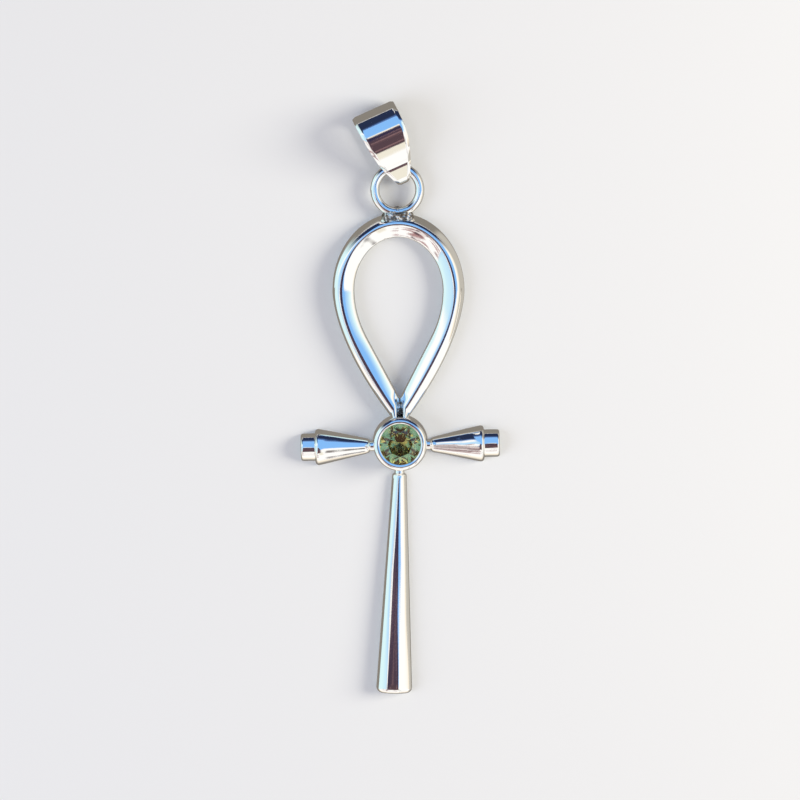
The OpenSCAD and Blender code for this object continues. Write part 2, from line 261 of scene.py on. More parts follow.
def cutGreenGem():
    # Cut and polished peridot: clear and strongly refracting, so its facets show bits of the room
    # in its tint. That tint is painted shade, going from light at the edge to dark over the deep middle.
    material, tree = newMaterial("cutGreenGem")
    reach = 1 / (gemLook["shadedMiddleR"] * mm)
    place = addNode(tree, "ShaderNodeTexCoord").outputs["Object"]
    flat = addNode(tree, "ShaderNodeMapping", {"Scale": (reach, reach, 0)}, {"Vector": place})
    # Painted shade: the tint goes from the rim tint at the edge to the dark middle tint at the centre
    deep = addNode(tree, "ShaderNodeTexGradient", {"gradient_type": "SPHERICAL"},
                   {"Vector": flat.outputs["Vector"]})
    colour = addNode(tree, "ShaderNodeMix", {"data_type": "RGBA"})
    colour.inputs[6].default_value = linearColour(gemLook["rim"])
    colour.inputs[7].default_value = linearColour(gemLook["middle"])
    tree.links.new(deep.outputs["Fac"], colour.inputs[0])
    surface = addNode(tree, "ShaderNodeBsdfPrincipled",
                      {"Roughness": gemLook["roughness"], "IOR": gemLook["ior"],
                       "Transmission Weight": 1.0}, {"Base Color": colour.outputs[2]})
    addNode(tree, "ShaderNodeOutputMaterial", links={"Surface": surface.outputs["BSDF"]})
    return material


silver, solder, gem = polishedSilver(), oxidisedSolder(), cutGreenGem()
print("materials made")

# Loop. Each section is the band's outline from its outer to its inner edge, as controls (share of
# the width, share of the height). It was filed by hand, so left, right and top differ.
loopShape = {
    "width": 12.16, "height": 1.55,
    "waistY": 14.07,         # where the arch starts
    "rise": 7.1,             # of the arch over the waist
    "sideW": 2.0, "topW": 2.2,
    "fullness": 1.66,        # power of the outer leg's curve
    "bend": 0.45,            # share of the inner leg that bends, before it runs straight
    "wallR": 2.5,            # outer radius of the bezel
    "footHalf": 0.93,        # half the width over both legs where they reach it
    "footAt": 0.2,           # how far outside its wall that is
    "footNarrows": 0.8,      # to this share of the width inside the wall
    "footSinks": (0.32, 0.2),    # how deep the outer and the inner edge run into the wall
    "crotchGap": 1.6,        # from the bezel to the V
    "seam": 0.06,            # gap between the legs in the V
    "groove": 0.42,          # how far their inner edges dip there, as a share of the height
    "grooveFrom": 0.58,      # where the dip starts, as a share of the way to the inner edge
    "grooveY": (3.9, 5.0),   # where it fades, up the inner edge
    "rightLegY": (7.5, 13.5),    # where the section rightLeg changes to right, up the outer edge
    "topRise": (0.25, 0.95),     # where both sides change to top, as shares of the arch's rise
    "lean": 0.65,
    "legSteps": 100, "archSteps": 90, "bandSteps": 60,
    "sections": {
        "left": [
            (0, 0), (0, 0.25), (0, 0.52), (0.02, 0.65), (0.07, 0.785), (0.13, 0.87), (0.2, 0.94),
            (0.265, 0.98), (0.33, 0.996), (0.4, 1.0), (0.46, 0.9965), (0.51, 0.984), (0.57, 0.956),
            (0.67, 0.906), (0.8, 0.835), (0.93, 0.75), (0.985, 0.69), (1, 0.6), (1, 0.35), (1, 0),
        ],
        "right": [
            (0, 0), (0, 0.25), (0, 0.48), (0.015, 0.58), (0.075, 0.69), (0.155, 0.8), (0.24, 0.905),
            (0.32, 0.975), (0.38, 0.995), (0.44, 1.0), (0.5, 0.994), (0.55, 0.978), (0.62, 0.942),
            (0.71, 0.893), (0.82, 0.83), (0.93, 0.755), (0.985, 0.7), (1, 0.6), (1, 0.35), (1, 0),
        ],
        "rightLeg": [
            (0, 0), (0, 0.25), (0, 0.56), (0.01, 0.66), (0.05, 0.74), (0.12, 0.82), (0.2, 0.89),
            (0.28, 0.95), (0.35, 0.9865), (0.415, 0.9985), (0.475, 1.0), (0.535, 0.99), (0.61, 0.955),
            (0.72, 0.9), (0.83, 0.835), (0.93, 0.76), (0.985, 0.7), (1, 0.6), (1, 0),
        ],
        "top": [
            (0, 0), (0, 0.25), (0, 0.36), (0.02, 0.44), (0.1, 0.585), (0.2, 0.755), (0.3, 0.915),
            (0.345, 0.965), (0.38, 0.986), (0.41, 0.997), (0.435, 1.0), (0.46, 0.996), (0.49, 0.984),
            (0.53, 0.96), (0.62, 0.902), (0.72, 0.829), (0.84, 0.734), (0.94, 0.652), (0.99, 0.6),
            (1, 0.52), (1, 0.3), (1, 0),
        ],
    },
}


def innerBend(q):
    # Share of the way in of the inner leg: a parabola down to the bend, then its tangent
    b = loopShape["bend"]
    k = 1 / (2 * b - b * b)
    return np.where(q < b, k * q * q, k * b * (2 * q - b))


def loopEdges():
    # Outer and inner edge of the right half from the foot to the top, and how near the top each is.
    # The leg's outer edge comes in by a power of the way down, and the arch is half an ellipse.
    s = loopShape
    half, inner = s["width"] / 2, s["width"] / 2 - s["sideW"]
    footY = math.sqrt((s["wallR"] + s["footAt"]) ** 2 - s["footHalf"] ** 2)
    crotchY = s["wallR"] + s["crotchGap"]
    q = np.linspace(1, 0, s["legSteps"] + 1)[:-1]
    leg = np.stack([
        np.stack([between(half, s["footHalf"], q ** s["fullness"]), between(s["waistY"], footY, q)], -1),
        np.stack([between(inner, s["seam"] / 2, innerBend(q)), between(s["waistY"], crotchY, q)], -1),
    ], 1)
    a = np.radians(np.linspace(90, 0, s["archSteps"] + 1))
    arch = np.stack([
        np.stack([half * np.sin(a), s["waistY"] + s["rise"] * np.cos(a)], -1),
        np.stack([inner * np.sin(a), s["waistY"] + (s["rise"] - s["topW"]) * np.cos(a)], -1),
    ], 1)
    # The foot ends inside the bezel's wall
    foot = np.array([[[s["footHalf"] * s["footNarrows"], s["wallR"] - s["footSinks"][0]],
                      [s["seam"] / 2, s["wallR"] - s["footSinks"][1]]]])
    nearTop = np.concatenate([np.zeros(len(foot) + len(leg)), smoothStep(*s["topRise"], np.cos(a))])
    return np.vstack([foot, leg, arch]), nearTop


def buildLoop():
    # The section carried along the loop: each point lies at its share of the way from the outer to
    # the inner edge and at its share of the height. Down the right leg one section blends into the
    # next, and towards the top both sides do.
    s = loopShape
    edges, nearTop = loopEdges()
    nearTop = nearTop[:, None, None]
    section = {name: smoothLine(controls, s["bandSteps"]) for name, controls in s["sections"].items()}
    upTheLeg = smoothStep(*s["rightLegY"], edges[:, 0, 1])[:, None, None]
    right = between(section["rightLeg"], between(section["right"], section["top"], nearTop), upTheLeg)
    left = between(section["left"], section["top"], nearTop)
    band = np.concatenate([right, left[:-1][::-1]])
    edges = np.concatenate([edges, edges[:-1][::-1] * [-1, 1]])
    across, high = band[..., :1], band[..., 1:]
    inV = 1 - smoothStep(*s["grooveY"], edges[:, 1, 1])[:, None, None]
    dip = s["groove"] * inV * smoothStep(s["grooveFrom"], 1, across)
    flat = between(edges[:, :1], edges[:, 1:], across)
    return skin(turned(np.concatenate([flat, high * (1 - dip) * s["height"]], -1), s["lean"]))


# Jump ring. Its middle lies at y and z, before the lean.
ringShape = {"outer": 4.96, "wire": 0.83, "y": 23.35, "z": 0.975, "ringSteps": 128, "wireSteps": 32}
ringMid = (ringShape["outer"] - ringShape["wire"]) / 2


def buildRing():
    # Torus: the wire's circle carried round the ring's circle
    r = ringShape["wire"] / 2
    a = np.linspace(0, 2 * math.pi, ringShape["ringSteps"], endpoint=False)[:, None]
    b = np.linspace(0, 2 * math.pi, ringShape["wireSteps"], endpoint=False)
    reach = ringMid + r * np.cos(b)
    rings = np.stack([reach * np.cos(a), ringShape["y"] + reach * np.sin(a),
                      ringShape["z"] + r * np.sin(b) + 0 * a], -1)
    return skin(turned(rings, loopShape["lean"]), ringsClosed=True)


# Solder: the lump under the ring, and the seam and the foot in the loop's V
solderLumps = {
    "ringLump": {"at": (0, 21.14, 0.8), "half": (1.5, 0.64, 0.68), "bend": 0.14, "rough": 0.13, "seed": 5},
    "vLump": {"at": (-0.1, 3.35, 0.62), "half": (0.2, 0.72, 0.3), "bend": 0, "rough": 0.3, "seed": 9},
    "footLump": {"at": (0, 2.72, 0.85), "half": (0.62, 0.17, 0.36), "bend": 0, "rough": 0.28, "seed": 14},
}
# Wavelengths of the lumps' noise in mm, and how strong each is
solderGrain = [(0.8, 1.0), (0.3, 0.7), (0.13, 0.4)]
# How blunt their ends are, the least share of the girth squared that is left there, and their steps
solderForm = {"blunt": 3.2, "least": 0.002, "along": 90, "round": 64}


def buildSolder(s):
    # Bent sausage along X: its girth follows the root of 1 less |x| to the power blunt, its middle
    # sinks by bend times x squared, as the loop's top does, and noise pushes its surface in and out
    u = np.linspace(-1, 1, solderForm["along"])[:, None]
    v = np.linspace(0, 2 * math.pi, solderForm["round"], endpoint=False)
    girth = np.sqrt(np.maximum(1 - np.abs(u) ** solderForm["blunt"], solderForm["least"]))
    x = u * s["half"][0] + 0 * v
    middle = np.stack([x, -s["bend"] * x ** 2, 0 * x], -1)
    spoke = np.stack([0 * x, s["half"][1] * girth * np.cos(v), s["half"][2] * girth * np.sin(v)], -1)
    swell = sum(strength * ripple(middle + spoke, s["seed"] + i, wavelength)
                for i, (wavelength, strength) in enumerate(solderGrain))
    rings = middle + spoke * (1 + s["rough"] * swell[..., None]) + np.array(s["at"])
    return skin(turned(rings, loopShape["lean"]))


# Bezel. The profile's controls are radius and height, from the foot over the rim to the floor.
bezelShape = {
    "segments": 192, "profileSteps": 150,
    "profile": [
        (0, 0), (1.2, 0), (2.4, 0), (2.55, 0), (2.55, 0.05), (2.545, 0.3), (2.53, 1.0), (2.51, 1.8),
        (2.5, 2.1), (2.49, 2.28), (2.46, 2.41), (2.4, 2.51), (2.33, 2.585), (2.25, 2.645), (2.17, 2.69),
        (2.1, 2.7), (2.03, 2.69), (1.96, 2.67), (1.9, 2.645), (1.88, 2.6), (1.88, 2.5), (1.88, 2.3),
        (1.88, 2.28), (1.88, 2.27), (2.03, 2.14), (2.03, 2.13), (2.03, 2.0), (2.02, 1.98), (1.78, 1.58),
        (1.2, 1.1), (0.35, 0.37), (0.3, 0.35), (0.15, 0.35), (0, 0.35),
    ],
}


def buildBezel():
    # The profile turned about Z
    steps = bezelShape["profileSteps"]
    radius, high = smoothLine(bezelShape["profile"], steps)[1:-1].T[..., None]
    a = np.linspace(0, 2 * math.pi, bezelShape["segments"], endpoint=False)
    return skin(np.stack([radius * np.cos(a), radius * np.sin(a), high + 0 * a], -1))


# Arms
armShape = {
    "span": 18.4,            # over both drums
    "wide": 3.35, "narrow": 1.3,
    "neck": 0.95, "neckLen": 0.36,
    "drum": 2.54, "drumLen": {-1: 1.34, 1: 1.44},    # left and right
    "shoulderR": 0.42, "drumR": 0.28,
    "drop": 0.32, "lean": 1.3,
    "sinks": 0.3,            # how deep the neck runs into the bezel's wall
    "uneven": 0.006,         # how far the hand filing strays from round, as a share of the radius
    "unevenWave": 1.6, "unevenSeed": 30,
    "profileSteps": 150, "roundSteps": 65,
}


def buildArm(side):
    # Half of a turned shape: neck, flared cone, rounded shoulder and end drum as one profile of
    # place along X and radius, carried round half a circle
    s = armShape
    root, cone = loopShape["wallR"] - s["sinks"], loopShape["wallR"] + s["neckLen"]
    end = s["span"] / 2
    drum = end - s["drumLen"][side]
    wide, narrow, small, neck = s["wide"] / 2, s["narrow"] / 2, s["drum"] / 2, s["neck"] / 2
    r, e = s["shoulderR"], s["drumR"]
    slope = (wide - narrow) / (drum - r - cone)
    controls = [
        (root, neck), (cone - 0.2, neck), (cone - 0.12, neck), (cone - 0.06, neck + 0.02),
        (cone, narrow - 0.1), (cone + 0.08, narrow), (cone + 0.3, narrow + 0.3 * slope),
    ]
    controls += [(between(cone, drum - r, t), between(narrow, wide, t)) for t in (0.15, 0.4, 0.7, 0.88)]
    controls += [
        (drum - r * 1.05, wide - 0.02), (drum - r * 0.55, wide + 0.01), (drum - r * 0.12, wide - r * 0.22),
        (drum + 0.01, wide - r * 0.75), (drum + 0.01, small + 0.05), (drum + 0.015, small + 0.01),
        (drum + 0.06, small), (between(drum, end, 0.4), small), (end - e * 1.2, small),
        (end - e * 0.5, small), (end - e * 0.08, small - e * 0.35), (end, small - e),
        (end, small - e * 2), (end, small * 0.4), (end, 0.02),
    ]
    x, radius = smoothLine(controls, s["profileSteps"]).T[..., None]
    a = np.linspace(0, math.pi, s["roundSteps"])
    rings = np.stack([x + 0 * a, radius * np.cos(a), radius * np.sin(a)], -1)
    rings[..., 1:] *= 1 + s["uneven"] * ripple(rings, s["unevenSeed"] + side, s["unevenWave"])[..., None]
    rings[..., 0] *= side
    return skin(turned(rings, s["lean"]) - [0, s["drop"], 0])


# Stem. Sections from left to right, as controls (share of the half width, share of the height):
# round at the top, and at the end nearly flat on the crown with a filed slope on each side.
stemShape = {
    "length": 20.5, "topW": 1.32, "endW": 3.36, "topH": 0.72, "endH": 1.5,
    "shoulder": 0.24, "round": 0.55, "lean": 1.4,
    "straightFrom": 0.5, "straightLeft": 1,    # the even rings start and stop this far from its ends
    "middleAt": 0.42,        # where the section is the middle one, as a share of the length
    "middlePower": 0.7,      # under 1, it comes near that early
    "endFrom": 0.6, "endAt": 0.95,    # where it changes to the end one
    "evenSteps": 60, "cornerSteps": 13, "sectionSteps": 81, "neckSteps": 33,
    "neck": 0.92, "neckLen": 0.42,
    "neckRings": [(2.2, 0), (2.52, 0), (2.6, 0.03), (2.66, 0), (2.74, -0.03), (2.82, 0.02),
                  (2.9, -0.02), (3.3, 0)],    # distance from the bezel's middle, and swell
    "sections": {
        "top": [
            (-1, 0), (-1, 0.14), (-0.97, 0.3), (-0.89, 0.47), (-0.78, 0.61), (-0.66, 0.725),
            (-0.54, 0.81), (-0.42, 0.88), (-0.3, 0.94), (-0.17, 0.985), (-0.04, 1.0), (0.09, 0.985),
            (0.22, 0.945), (0.35, 0.89), (0.48, 0.82), (0.61, 0.73), (0.74, 0.62), (0.86, 0.49),
            (0.95, 0.33), (1, 0.16), (1, 0),
        ],
        "middle": [
            (-1, 0), (-1, 0.25), (-0.98, 0.44), (-0.91, 0.64), (-0.81, 0.765), (-0.7, 0.855),
            (-0.59, 0.917), (-0.47, 0.957), (-0.35, 0.983), (-0.22, 0.996), (-0.07, 1.0), (0.07, 0.995),
            (0.19, 0.977), (0.31, 0.948), (0.43, 0.91), (0.55, 0.86), (0.66, 0.79), (0.78, 0.68),
            (0.9, 0.5), (1, 0.22), (1, 0),
        ],
        "end": [
            (-1, 0), (-1, 0.25), (-0.985, 0.45), (-0.92, 0.63), (-0.82, 0.755), (-0.7, 0.84),
            (-0.58, 0.905), (-0.5, 0.945), (-0.43, 0.98), (-0.25, 0.997), (-0.06, 1.0), (0.12, 0.997),
            (0.27, 0.983), (0.35, 0.95), (0.45, 0.893), (0.6, 0.8), (0.75, 0.705), (0.87, 0.61),
            (0.96, 0.47), (1, 0.28), (1, 0),
        ],
    },
}


def buildStem():
    # The section carried down the stem and blended from top over middle to end. At both ends it
    # draws in along a quarter circle. The neck is half of a beaded rod.
    s = stemShape
    top, middle, end = (smoothLine(s["sections"][name], s["sectionSteps"])
                        for name in ("top", "middle", "end"))
    a = np.radians(np.linspace(0, 90, s["cornerSteps"]))
    even = np.linspace(s["straightFrom"], s["length"] - s["straightLeft"], s["evenSteps"])
    down = np.concatenate([s["shoulder"] * (1 - np.cos(a)), even,
                           s["length"] - s["round"] * (1 - np.sin(a))])[:, None]
    draw = np.concatenate([s["shoulder"] * (1 - np.sin(a)), 0 * even, s["round"] * (1 - np.cos(a))])
    share = down / s["length"]
    toMiddle = np.minimum(share / s["middleAt"], 1) ** s["middlePower"]
    section = between(top, middle, toMiddle[..., None])
    section = between(section, end, smoothStep(s["endFrom"], s["endAt"], share)[..., None])
    half = between(s["topW"], s["endW"], share) / 2 - draw[:, None]
    high = between(s["topH"], s["endH"], share) - draw[:, None]
    y = -loopShape["wallR"] - s["neckLen"] - down
    body = np.stack([section[..., 0] * half, y + 0 * section[..., 0], section[..., 1] * high], -1)
    away, swell = np.array(s["neckRings"]).T[..., None]
    b = np.linspace(0, math.pi, s["neckSteps"])
    r = s["neck"] / 2 + swell
    neck = np.stack([r * np.cos(b), 0 * b - away, r * np.sin(b)], -1)
    return joined([skin(turned(body, -s["lean"])), skin(turned(neck, -s["lean"]))])


# Bail: a strip folded into a loop. Its side outline is drawn along a line s from the tip, with z off
# the surface, and then laid on the jump ring.
bailShape = {
    "width": 4.12, "length": 7.4, "depth": 3.75, "thick": 0.4,
    "tip": 0.975,            # height of the tip's middle, which is also its outer radius
    "creaseS": 1.82, "creaseZ": 2.15,
    "crease": 0.021,         # depth of the crease line
    "apexS": 5.2, "foldR": 1.5, "foldTurn": 28,
    "bevel": 0.28,
    "across": 0.9,           # how far right of the ring's middle it sits
    "seat": 1.6,             # from its tip to the wire's middle
    "lean": 23.6,
    # Share of the length, half width and sideways shift as shares of the half width
    "outline": [(0, 0.25, -0.04), (0.06, 0.33, -0.03), (0.12, 0.45, -0.01), (0.225, 0.62, 0.01),
                (0.34, 0.76, 0.03), (0.5, 0.9, 0.07), (0.65, 0.965, 0.08), (0.85, 1, 0.04), (1, 1, 0)],
}


def bailLine():
    # Middle line of the strip from the side, back leaf first. The fold is a tight arc into the back
    # leaf, a wide one and the crown's, each tangent to the next, then come the front leaf's flat
    # arc down to the crease, the straight facet, and the tip's arc that the facet's tangent meets.
    # The last number of each arc is its count of points.
    s = bailShape
    t = s["thick"]
    end, floor = s["length"] - t / 2, t / 2
    turn = math.radians(s["foldTurn"])
    apex, crease = np.array([s["apexS"], s["depth"] - t / 2]), np.array([s["creaseS"], s["creaseZ"]])
    wideR = (end - apex[0] - s["foldR"] * math.sin(turn)) / (1 - math.sin(turn))
    smallR = apex[1] - floor - s["foldR"] * (1 - math.cos(turn)) - wideR * math.cos(turn)
    run, drop = apex - crease
    leafR = (run ** 2 + drop ** 2) / (2 * drop)
    leafTurn = math.degrees(math.asin(run / leafR))
    tipR = s["tip"] - t / 2
    toCrease = crease - s["tip"]
    touch = math.atan2(toCrease[1], toCrease[0]) + math.acos(tipR / np.linalg.norm(toCrease))

    def arc(centre, radius, start, stop, count):
        a = np.radians(np.linspace(start, stop, count))
        return centre + radius * np.column_stack([np.cos(a), np.sin(a)])

    backX = np.linspace(s["tip"], end - smallR, 26)[1:-1]
    back = np.column_stack([backX, np.full(len(backX), floor)])
    fold = np.vstack([
        arc((end - smallR, floor + smallR), smallR, -90, 0, 16),
        arc((end - wideR, floor + smallR), wideR, 0, 90 - s["foldTurn"], 50)[1:],
        arc(apex - (0, s["foldR"]), s["foldR"], 90 - s["foldTurn"], 90, 30)[1:],
    ])
    front = arc(apex - (0, leafR), leafR, 90, 90 + leafTurn, 60)[1:]
    tip = arc((s["tip"], s["tip"]), tipR, math.degrees(touch), 270, 30)
    along = tip[0] - front[-1]
    inward = np.array([-along[1], along[0]]) / np.linalg.norm(along) * s["crease"]
    facet = front[-1] + np.outer((0.01, 0.07, 0.3, 0.6, 0.9), along) + np.outer((1, 0, 0, 0, 0), inward)
    return np.vstack([back, fold, front, facet, tip])


def buildBail():
    # The strip's section, flat with a soft bevel at both outer edges, carried along the side outline
    # and set square to it. Its width follows the outline table.
    s = bailShape
    line = bailLine()
    ahead = np.roll(line, -1, 0) - np.roll(line, 1, 0)
    out = np.column_stack([ahead[:, 1], -ahead[:, 0]]) / np.linalg.norm(ahead, axis=1)[:, None]
    share, widths, shifts = np.array(s["outline"]).T
    half = s["width"] / 2 * np.interp(line[:, 0] / s["length"], share, widths)[:, None]
    shift = s["width"] / 2 * np.interp(line[:, 0] / s["length"], share, shifts)[:, None]
    bevel, t = np.minimum(s["bevel"], half / 2), s["thick"]
    # The bevel falls outwards by half its own width, and its inner end is a little rounded
    under = half * [-1, -0.5, 0, 0.5, 1]
    slope = half - bevel * [0, 0.45, 0.93]
    slopeUp = np.hstack([t / 2 - bevel * 0.5, t / 2 - bevel * 0.26, t / 2 - 0.01 + 0 * bevel])
    over = (half - bevel * 1.07) * [1, 0.93, 0.6, 0.2, -0.2, -0.6, -0.93, -1]
    x = np.hstack([under, slope, over, -slope[:, ::-1]]) + shift
    up = np.hstack([0 * under - t / 2, slopeUp, 0 * over + t / 2, slopeUp[:, ::-1]])
    side = line[:, None] + up[..., None] * out[:, None]
    rings = np.concatenate([x[..., None], side], -1)
    rings += [s["across"], math.sqrt(ringMid ** 2 - s["across"] ** 2) - s["seat"], 0]
    rings = turned(rings, s["lean"]) + [0, ringShape["y"], 0]
    return skin(turned(rings, loopShape["lean"]), ringsClosed=True)


# Stone: standard 4 mm round brilliant
stoneShape = {
    "girdle": 4.0, "table": 2.3, "crownH": 0.6, "girdleH": 0.1, "pavilionH": 1.55, "girdleZ": 2.03,
    "star": 0.46,            # how far the star facets reach from the table to the girdle
    "main": 0.3,             # where the pavilion's main facets are widest, as a share of the radius
}


def buildStone():
    # Circles of corners at the table, the stars' points, the girdle's two edges and the pavilion,
    # and the tip. Heights inside follow from the main facets being flat.
    s = stoneShape
    r, t = s["girdle"] / 2, s["table"] / 2
    topZ = s["girdleZ"] + s["girdleH"]
    tableZ, tipZ = topZ + s["crownH"], s["girdleZ"] - s["pavilionH"]
    starR, lowR = between(t, r, s["star"]), r * s["main"]
    c = math.cos(math.radians(22.5))
    starZ = between(tableZ, topZ, (starR * c - t) / (r - t))
    lowZ = between(tipZ, s["girdleZ"], lowR * c / r)

    def circle(count, radius, z, start=0.0):
        a = np.radians(np.arange(count) * 360 / count + start)
        return np.column_stack([radius * np.cos(a), radius * np.sin(a), np.full(count, z)])

    points = np.vstack([
        circle(8, t, tableZ), circle(8, starR, starZ, 22.5), circle(16, r, topZ),
        circle(16, r, s["girdleZ"]), circle(8, lowR, lowZ, 22.5), [[0, 0, tipZ]],
    ])
    star, upper, lower, low, tip = 8, 16, 32, 48, 56    # first corner of each circle
    i, g = np.arange(8), np.arange(16)
    n, b, even, odd, past = (i + 1) % 8, (i + 7) % 8, 2 * i, 2 * i + 1, (2 * i + 2) % 16
    facets = [
        (i, star + i, n),
        (i, star + b, upper + even, star + i),
        (star + i, upper + even, upper + odd),
        (star + i, upper + odd, upper + past),
        (low + i, lower + odd, lower + even),
        (low + i, lower + past, lower + odd),
        (tip + 0 * i, low + i, lower + even, low + b),
        (upper + g, lower + g, lower + (g + 1) % 16, upper + (g + 1) % 16),
    ]
    faces = [list(range(8))] + [face for kind in facets for face in np.column_stack(kind).tolist()]
    return points, outward(points, faces)


makePiece("loop", *buildLoop(), silver, "silver", ["ankh_frame"])
makePiece("jumpRing", *buildRing(), silver, "silver")
for lumpName, lump in solderLumps.items():
    makePiece(lumpName, *buildSolder(lump), solder, "silver")
makePiece("bezel", *buildBezel(), silver, "silver", sharpAngle=60)
makePiece("armLeft", *buildArm(-1), silver, "silver", sharpAngle=60)
makePiece("armRight", *buildArm(1), silver, "silver", sharpAngle=60)
makePiece("stem", *buildStem(), silver, "silver", sharpAngle=60)
makePiece("bail", *buildBail(), silver, "silver", ["bail"], sharpAngle=25)
makePiece("stone", *buildStone(), gem, "stone", ["stone"], sharpAngle=0)
print("pieces built")

# Reflected room. The silver is a mirror, so its look is the room it shows: open sky overhead, a dark
# house side towards +Y, white ground towards -Y, and a dark outline just past straight up. A dome
# carries that room, and only mirror-like rays see it. "Up" angles are in degrees from straight up,
# positive towards +Y, and "side" angles the same towards +X. x is the direction's X from -1 to 1.
roomLook = {
    "radius": 0.45,          # metres
    "rows": 241, "columns": 480,
    "strength": 1.08,
    "tones": {
        "ground": "#86817A", "rim": "#F4F5F6", "house": "#26304C", "houseLow": "#5A7FBE",
        "sky": "#84BCFB", "paleSky": "#B4DDFD", "cyan": "#D8F6FC", "white": "#FFFFFF",
        "cream": "#FDF4E4", "beige": "#E6DCCB", "shade": "#9B9792", "paleShade": "#EDE8DA",
        "figure": "#55434B", "figureTop": "#2E2C48", "pink": "#B08A8A",
        "silver": "#BDB9B1",
    },
    # (up angle, tone), outside the sky and within it
    "near": [(-180, "ground"), (-134, "ground"), (-124, "shade"), (-112, "beige"), (-101, "cream"),
             (-90, "white"), (60, "white")],
    "sky": [(-60, "sky"), (-8, "sky"), (0, "paleSky"), (9, "sky"), (60, "sky")],
    # (side angle, tone), for what lies more to the left and right than ahead
    "cross": [(-180, "ground"), (-114, "ground"), (-106, "cyan"), (-56, "cyan"), (-34, "paleSky"),
              (-20, "paleSky"), (-8, "sky"), (38, "sky"), (48, "cyan"), (56, "white"), (74, "cream"),
              (80, "beige"), (86, "silver"), (125, "silver"), (140, "ground"), (180, "ground")],
    # (x, up angle) of the sky's lower edge and of the house's lower and upper edge
    "skyEdge": [(-1, -40), (-0.68, -33), (-0.5, -24), (-0.46, 0), (-0.37, 0), (-0.33, -20), (-0.12, -14),
                (-0.05, 3.5), (0.05, 3.5), (0.12, -14), (0.3, -14), (0.36, -6), (0.5, -6), (0.56, -3),
                (0.7, -1.6), (1, 0)],
    "houseLow": [(-0.36, 29), (-0.345, 53), (0.3, 53), (0.34, 44)],
    "houseTop": [(-0.37, 96), (-0.355, 84), (-0.3, 84), (-0.29, 69), (-0.25, 69), (-0.15, 93), (0.1, 93),
                 (0.4, 92)],
    # (x, width) of the bright rim over it, in degrees
    "rimWide": [(-0.37, 1.5), (-0.355, 12), (-0.25, 12), (-0.15, 1.5)],
    # Noises that cloth follows: how many degrees from straight up one wave takes, how many waves one
    # radian round straight up takes, and the seed
    "weaves": {"fine": (5, 1.3, 3), "broad": (12, 2.2, 4), "patch": (22, 3.5, 6), "folds": (6, 3, 8)},
    # Cloth: tone, how strongly, x from, to and softness, up angle from, to and softness, and the
    # noise with the values between which it comes in
    "cloth": [
        ("shade", 0.5, (0.43, 0.6, 0.03), (-82, -38, 3), ("patch", -0.5, 0.5)),
        ("figure", 0.5, (0.43, 0.6, 0.03), (-82, -38, 3), ("patch", 0.3, 0.9)),
        ("pink", 0.8, (-0.25, 0.12, 0.05), (-70, -40, 4), ("fine", 0, 0.8)),
        # The right arm's lower half shows the next two. They keep clear of what the bail shows.
        ("pink", 0.35, (-0.46, -0.28, 0.02), (-65, -15, 3), None),
        ("figure", 0.9, (-0.46, -0.28, 0.02), (-65, -15, 3), ("folds", 0, 0.5)),
        ("paleShade", 1, (0.2, 0.34, 0.02), (-52, -30, 3), None),
    ],
    # The left arm's lower half shows the room along a curve: x is armReach times the cosine of half
    # the sum of up angle and armTurn. Its cloth has x from that curve instead.
    "armReach": 0.42, "armTurn": 5.6,
    "armCloth": [((-0.03, 0.03, 0.008), (-41, -22, 2)), ((-0.03, 0.01, 0.004), (-96, -74, 2))],
    # Upper edge of the dark outline, as an up angle: top less bend times x squared, and beyond
    # shoulderX it falls faster. The gap's edge has the same form without shoulders.
    "head": {"top": 0.9, "bend": 60, "shoulderX": 0.17, "left": 200, "right": 550},
    "gap": {"top": 1.4, "bend": 42},
}


